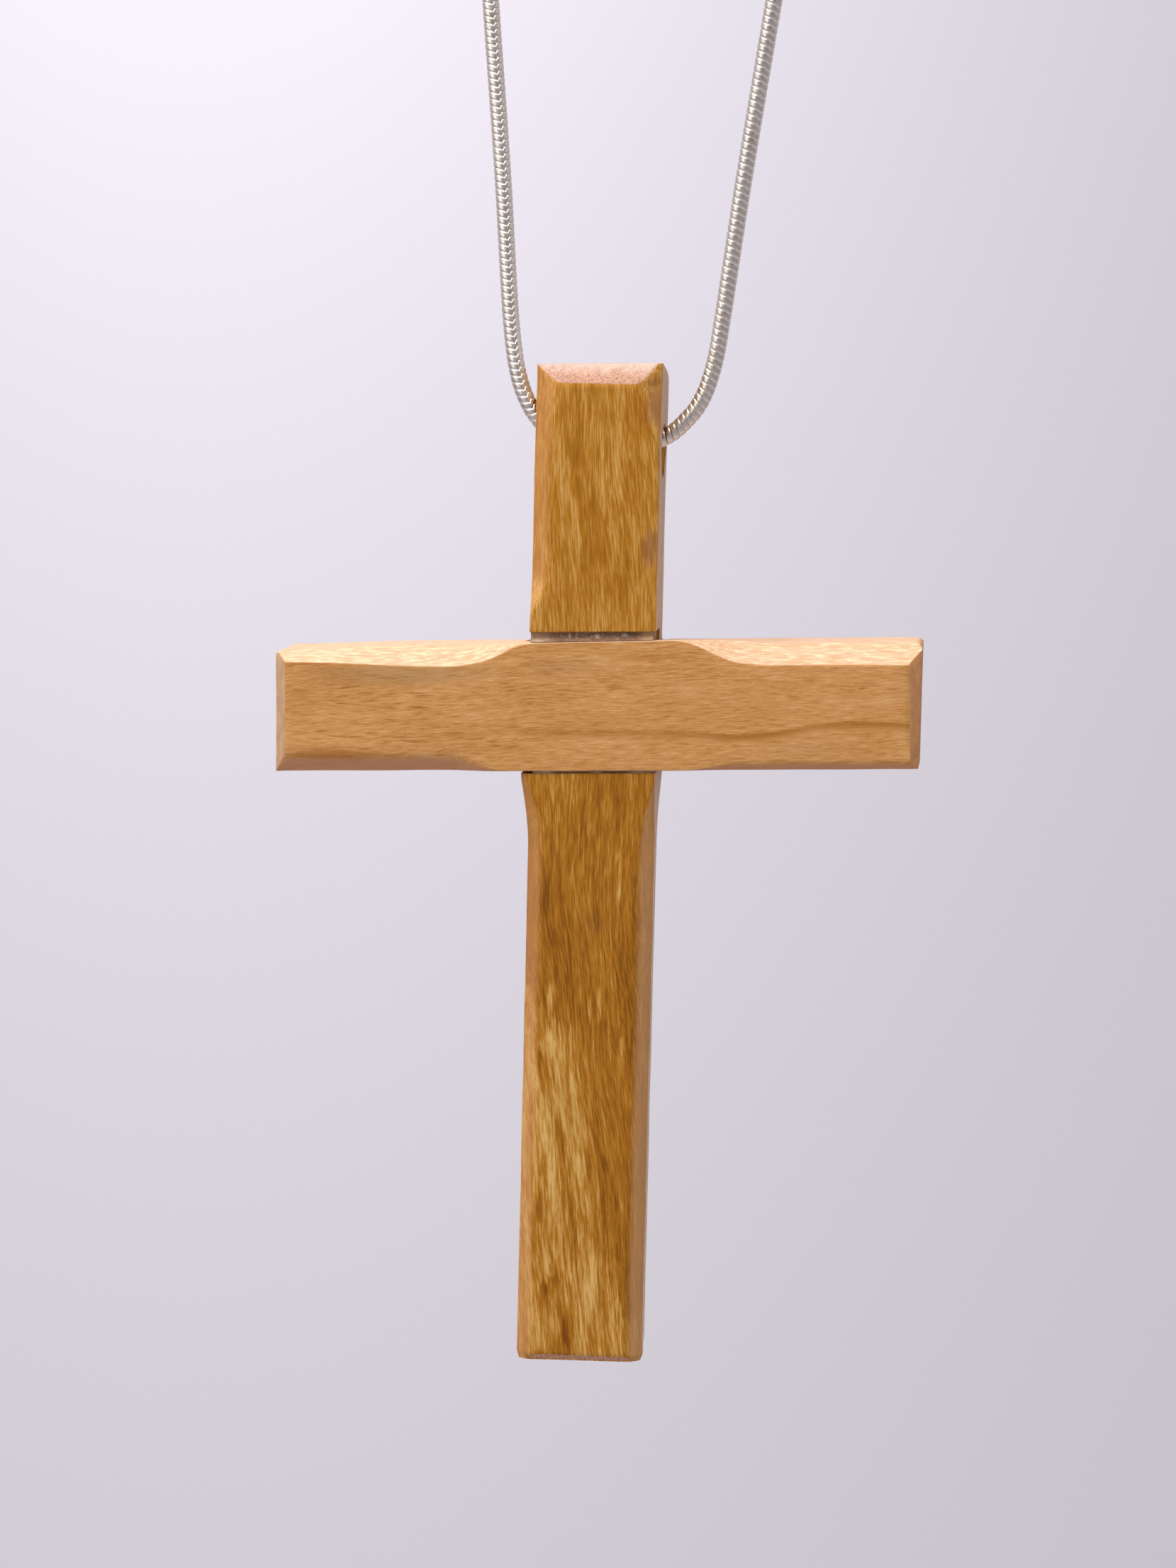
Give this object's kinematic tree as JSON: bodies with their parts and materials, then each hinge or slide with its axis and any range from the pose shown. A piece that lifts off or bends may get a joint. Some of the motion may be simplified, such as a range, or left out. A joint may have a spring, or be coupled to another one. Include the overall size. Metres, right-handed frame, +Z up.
{
  "type": "cross necklace",
  "caption": "Hand-cut wooden cross with a lapped crossbar on a closed metal snake chain, hung from a peg.",
  "frame": {"origin": "top of the peg that holds the necklace up, on the inside of the coil's top turns, at the middle of their depth", "axes": "+Z up, the cross faces -Y, +X to the right of someone who faces the cross; +Z is the cross's longest way and +Y its thinnest"},
  "size_m": [0.0457, 0.01, 0.1383],
  "materials": {
    "post_wood": "oiled, hand cut",
    "bar_wood": "satin, hand cut",
    "glue": "dried clear glue over dark wood",
    "silver": "polished",
    "spring_steel": "drawn wire",
    "tie_band": "paper-covered band"
  },
  "bodies": {
    "chain": {"chain_run": "silver", "chain_coil": "silver", "coil_tie": "tie_band", "end_cap_lower": "silver", "end_cap_upper": "silver"},
    "cross": {"post": "post_wood", "crossbar": "bar_wood", "glue_film": "glue", "glue_bead": "glue"},
    "lower_ring": {"jump_ring_lower": "silver"},
    "clasp": {"clasp_body": "silver", "clasp_pin": "silver", "clasp_spring": "spring_steel"},
    "lever": {"clasp_lever": "silver"},
    "upper_ring": {"jump_ring_upper": "silver"}
  },
  "joints": [
    {"name": "cross_swing", "type": "hinge", "parent": "chain", "child": "cross", "pos_m": [-0.00198, 0, -0.07133], "axis": [0.9877, 0, -0.1564], "range_deg": [-140, 140]},
    {"name": "lower_ring_twist", "type": "hinge", "parent": "chain", "child": "lower_ring", "pos_m": [0.01061, -0.00297, -0.03294], "axis": [0.1373, -0.0852, 0.9868], "range_deg": [-15, 15]},
    {"name": "clasp_twist", "type": "hinge", "parent": "chain", "child": "clasp", "pos_m": [0.01092, -0.00316, -0.03072], "axis": [0.1373, -0.0852, 0.9868], "range_deg": [-15, 15]},
    {"name": "upper_ring_twist", "type": "hinge", "parent": "chain", "child": "upper_ring", "pos_m": [0.01206, -0.00387, -0.02253], "axis": [0.1373, -0.0852, 0.9868], "range_deg": [-15, 15]},
    {"name": "clasp_open", "type": "hinge", "parent": "clasp", "child": "lever", "pos_m": [0.0116, -0.00359, -0.02705], "axis": [-0.5273, -0.8497, 0], "range_deg": [0, 20], "stiffness_Nm_per_rad": 0.0002, "springref_deg": -5.73, "deforming": ["clasp_spring"]}
  ]
}
